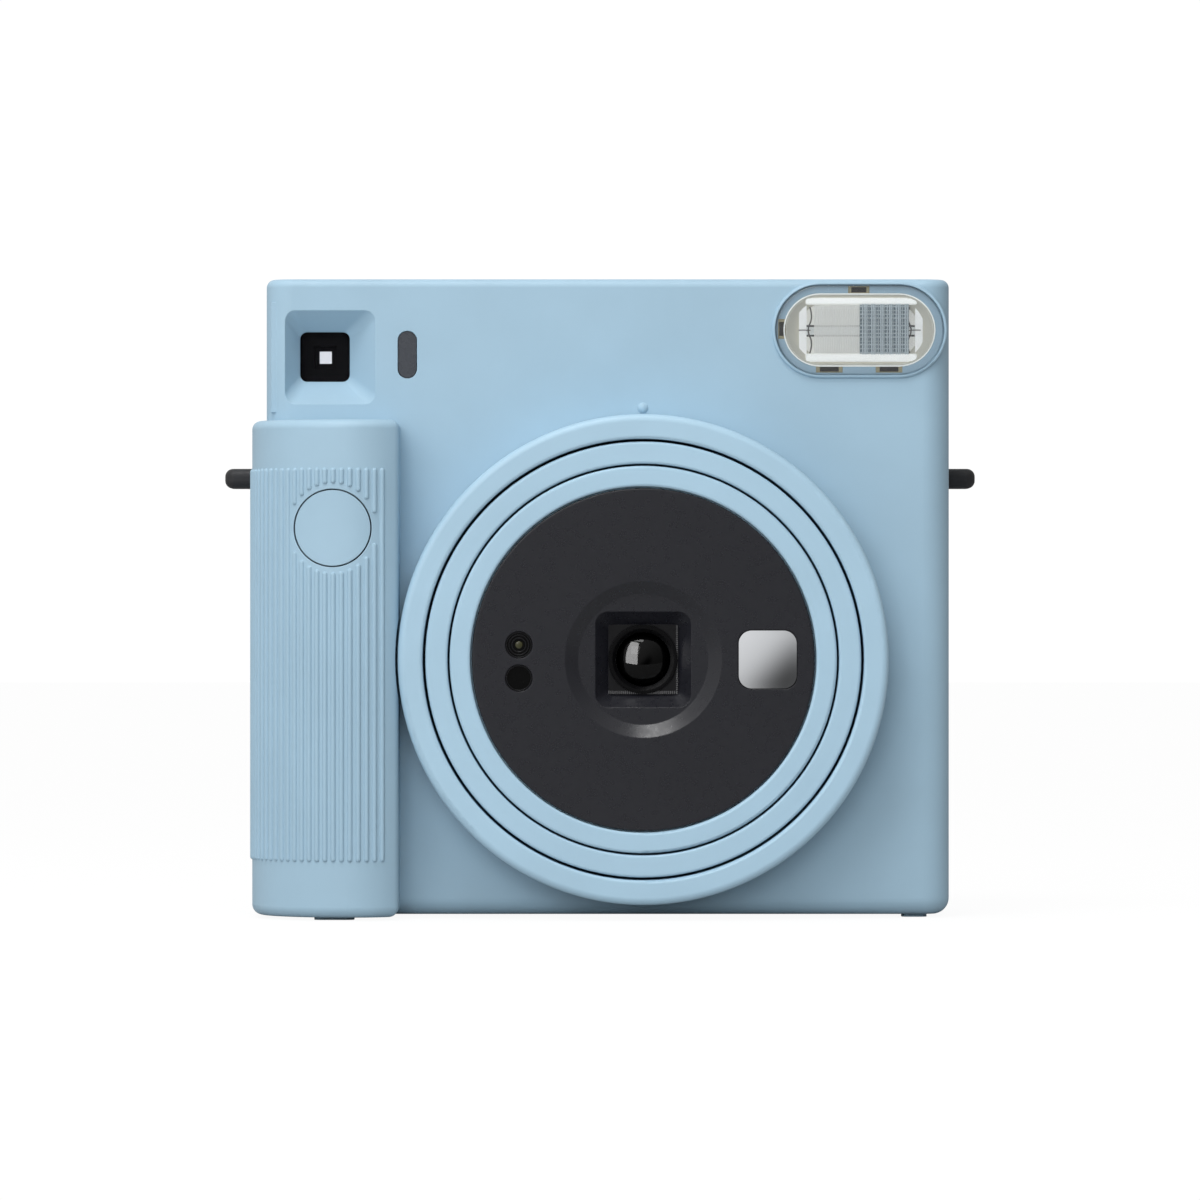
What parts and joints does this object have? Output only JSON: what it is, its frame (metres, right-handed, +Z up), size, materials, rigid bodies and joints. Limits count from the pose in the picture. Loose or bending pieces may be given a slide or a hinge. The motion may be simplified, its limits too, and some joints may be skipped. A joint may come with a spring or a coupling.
{
  "type": "instant camera",
  "caption": "Square-format instant camera with a ribbed grip, turning lens ring, telescoping lens, flash, viewfinder, hinged back door and battery door.",
  "frame": {"origin": "on the supporting surface, under the middle of the camera's outline", "axes": "+X to the right seen from the front, +Y from the front to the back, +Z up"},
  "size_m": [0.1422, 0.0575, 0.1192],
  "materials": {
    "blue_plastic": "matte moulded",
    "black_plastic": "matte moulded",
    "face_plastic": "fine satin",
    "smoke_window": "satin tinted",
    "clear_plastic": "polished",
    "lens_glass": "polished, coated",
    "sensor_glass": "polished, dark",
    "mirror": "polished",
    "reflector": "bright",
    "clip": "matte",
    "steel": "brushed",
    "gear_plastic": "matte",
    "roller": "satin",
    "board": "coated",
    "cell": "gloss",
    "capacitor": "gloss",
    "film": "satin"
  },
  "bodies": {
    "root": {"front_shell": "blue_plastic", "grip_cover": "blue_plastic", "rear_shell": "blue_plastic", "feet": "blue_plastic", "film_exit_trim": "black_plastic", "strap_lug_left": "black_plastic", "strap_lug_right": "black_plastic", "finder_tunnel": "black_plastic", "eyepiece_frame": "black_plastic", "barrel_guide": "black_plastic", "dark_chamber": "black_plastic", "film_pack_case": "black_plastic", "battery_tray": "black_plastic", "roller_bracket": "black_plastic", "gear_plate": "black_plastic", "shutter_switch": "black_plastic", "light_window": "smoke_window", "flash_window": "clear_plastic", "counter_window": "clear_plastic", "eyepiece_lens": "lens_glass", "finder_window": "lens_glass", "flash_tube": "lens_glass", "flash_reflector": "reflector", "flash_clips": "clip", "case_screws": "steel", "hinge_pins": "steel", "button_spring": "steel", "battery_contacts": "steel", "motor": "steel", "flash_board": "board", "main_board": "board", "battery_cells": "cell", "flash_capacitor": "capacitor", "film_sheets": "film"},
    "lens_ring": {"lens_ring": "blue_plastic", "ring_clip": "black_plastic"},
    "outer_barrel": {"outer_barrel": "blue_plastic"},
    "inner_barrel": {"inner_barrel": "blue_plastic", "lens_face": "face_plastic", "selfie_mirror": "mirror", "lens_bezel": "black_plastic", "front_lens": "lens_glass", "rear_lens": "lens_glass", "sensor_windows": "sensor_glass", "shutter_housing": "black_plastic"},
    "shutter_blade_front": {"shutter_blade_front": "steel"},
    "shutter_blade_rear": {"shutter_blade_rear": "steel"},
    "shutter_button": {"shutter_button": "blue_plastic"},
    "drive_roller": {"drive_roller": "roller"},
    "pinch_roller": {"pinch_roller": "roller"},
    "reduction_gear": {"reduction_gear": "gear_plastic"},
    "motor_pinion": {"motor_pinion": "gear_plastic"},
    "film_claw": {"film_claw": "gear_plastic"},
    "battery_door": {"battery_door": "blue_plastic"},
    "back_door": {"back_door": "blue_plastic", "door_inner_panel": "black_plastic", "pack_window": "clear_plastic", "pressure_pads": "steel"},
    "door_latch": {"door_latch": "black_plastic"},
    "counter_dial": {"counter_dial": "gear_plastic"}
  },
  "joints": [
    {"name": "lens_ring_turn", "type": "hinge", "parent": "root", "child": "lens_ring", "pos_m": [0.008, 0, 0.0483], "axis": [0, -1, 0], "range_deg": [0, 90]},
    {"name": "outer_barrel_slide", "type": "slide", "parent": "root", "child": "outer_barrel", "axis": [0, -1, 0], "range_m": [0, 0.008]},
    {"name": "inner_barrel_slide", "type": "slide", "parent": "root", "child": "inner_barrel", "axis": [0, -1, 0], "range_m": [0, 0.016]},
    {"name": "shutter_blade_front_turn", "type": "hinge", "parent": "inner_barrel", "child": "shutter_blade_front", "pos_m": [0.0195, -0.0181, 0.0483], "axis": [0, -1, 0], "range_deg": [0, 52], "stiffness_Nm_per_rad": 0.0005},
    {"name": "shutter_blade_rear_turn", "type": "hinge", "parent": "inner_barrel", "child": "shutter_blade_rear", "pos_m": [-0.0035, -0.0171, 0.0483], "axis": [0, -1, 0], "range_deg": [0, 52], "stiffness_Nm_per_rad": 0.0005},
    {"name": "shutter_press", "type": "slide", "parent": "root", "child": "shutter_button", "axis": [0, 1, 0], "range_m": [0, 0.0015], "stiffness_N_per_m": 400, "deforming": ["button_spring"]},
    {"name": "drive_roller_spin", "type": "hinge", "parent": "root", "child": "drive_roller", "pos_m": [0, 0.0052, 0.1075], "axis": [1, 0, 0], "continuous": true},
    {"name": "pinch_roller_spin", "type": "hinge", "parent": "root", "child": "pinch_roller", "pos_m": [0, 0.0148, 0.1075], "axis": [1, 0, 0], "continuous": true},
    {"name": "reduction_gear_spin", "type": "hinge", "parent": "root", "child": "reduction_gear", "pos_m": [0, 0.0022, 0.099], "axis": [1, 0, 0], "continuous": true},
    {"name": "motor_spin", "type": "hinge", "parent": "root", "child": "motor_pinion", "pos_m": [0, 0.0094, 0.0865], "axis": [1, 0, 0], "continuous": true},
    {"name": "film_claw_slide", "type": "slide", "parent": "root", "child": "film_claw", "axis": [0, 0, 1], "range_m": [0, 0.005], "stiffness_N_per_m": 20},
    {"name": "battery_door_turn", "type": "hinge", "parent": "root", "child": "battery_door", "pos_m": [-0.0639, 0.0226, 0.043], "axis": [0, 0, -1], "range_deg": [0, 100]},
    {"name": "back_door_turn", "type": "hinge", "parent": "root", "child": "back_door", "pos_m": [-0.0376, 0.02755, 0.0525], "axis": [0, 0, 1], "range_deg": [0, 105]},
    {"name": "door_latch_slide", "type": "slide", "parent": "back_door", "child": "door_latch", "axis": [0, 0, 1], "range_m": [0, 0.003], "stiffness_N_per_m": 150},
    {"name": "counter_turn", "type": "hinge", "parent": "root", "child": "counter_dial", "pos_m": [-0.051, 0.0248, 0.07], "axis": [0, 1, 0], "range_deg": [0, 300]}
  ],
  "couplings": [
    {"joint": "outer_barrel_slide", "follows": "lens_ring_turn", "m_per_rad": 0.0050929},
    {"joint": "inner_barrel_slide", "follows": "lens_ring_turn", "m_per_rad": 0.010186},
    {"joint": "shutter_blade_rear_turn", "follows": "shutter_blade_front_turn", "ratio": 1},
    {"joint": "pinch_roller_spin", "follows": "drive_roller_spin", "ratio": -1},
    {"joint": "reduction_gear_spin", "follows": "drive_roller_spin", "ratio": -1.1429},
    {"joint": "motor_spin", "follows": "drive_roller_spin", "ratio": 3.4286}
  ]
}
